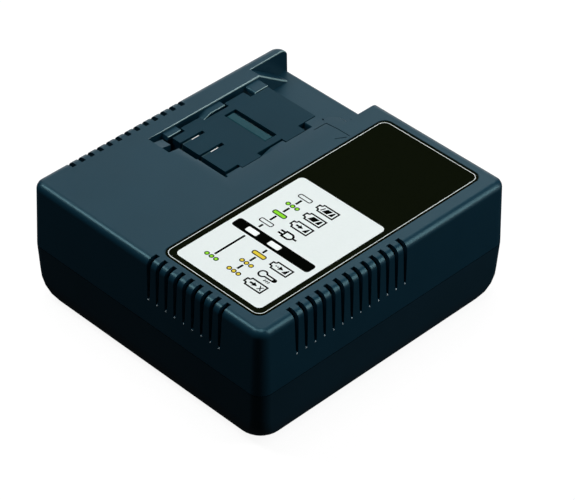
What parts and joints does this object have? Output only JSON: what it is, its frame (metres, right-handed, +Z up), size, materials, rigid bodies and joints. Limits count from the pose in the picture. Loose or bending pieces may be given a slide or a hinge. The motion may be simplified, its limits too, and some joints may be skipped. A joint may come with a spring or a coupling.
{
  "type": "power tool battery charger",
  "caption": "Low square bench charger with a slide-on battery dock, open rear bay, sprung deck plate, indicator windows and rows of vent slots over the shoulders.",
  "frame": {"origin": "on the floor under the middle of the case", "axes": "+Z up, +Y to the rear, where a pack slides on and the cord comes in, +X to the right, where the label is"},
  "size_m": [0.176, 0.185, 0.077],
  "materials": {
    "shell_upper": "fine moulded texture, dark slate",
    "shell_lower": "fine moulded texture, dark slate",
    "black_plastic": "moulded black",
    "grey_plastic": "moulded light grey",
    "yellow_plastic": "glossy box",
    "relay": "glossy box",
    "terminal": "moulded green",
    "label": "printed film, satin",
    "lens": "clear diffuser",
    "led": "encapsulated chip",
    "cable": "flat cable",
    "board": "solder-masked laminate",
    "ferrite": "sintered, dull",
    "winding_tape": "wrapped tape",
    "copper": "enamelled wire",
    "can_sleeve": "shrink sleeve",
    "fuse_glass": "clear tube",
    "heatsink": "extruded, satin",
    "spring_steel": "tinned",
    "contact_metal": "nickel plated",
    "screw_steel": "zinc plated",
    "lead_red": "insulated lead",
    "rubber": "moulded",
    "gland": "moulded"
  },
  "bodies": {
    "charger": {"upper_case": "shell_upper", "lower_case": "shell_lower", "plate_springs": "spring_steel", "contact_block": "black_plastic", "contact_blades": "contact_metal", "latch_catch": "grey_plastic", "label_film": "label", "light_pipes": "lens", "indicator_board": "board", "indicator_leds": "led", "indicator_cable": "cable", "main_board": "board", "transformer_core": "ferrite", "transformer_winding": "winding_tape", "bulk_capacitor": "can_sleeve", "output_capacitors": "can_sleeve", "line_choke": "ferrite", "choke_winding": "copper", "filter_capacitor": "yellow_plastic", "mains_fuse": "fuse_glass", "fuse_clips": "spring_steel", "primary_heatsink": "heatsink", "output_heatsink": "heatsink", "power_transistor": "black_plastic", "output_diode": "black_plastic", "control_chip": "black_plastic", "output_relay": "relay", "mains_terminal": "terminal", "contact_leads": "lead_red", "board_screws": "screw_steel", "case_screws": "screw_steel", "dock_screws": "screw_steel", "rubber_feet": "rubber", "cord_gland": "gland"},
    "plate": {"dock_plate": "shell_upper"}
  },
  "joints": [
    {"name": "plate_press", "type": "slide", "parent": "charger", "child": "plate", "axis": [0, 0, -1], "range_m": [0, 0.006], "stiffness_N_per_m": 400, "springref_m": -0.006, "deforming": ["plate_springs"]}
  ]
}
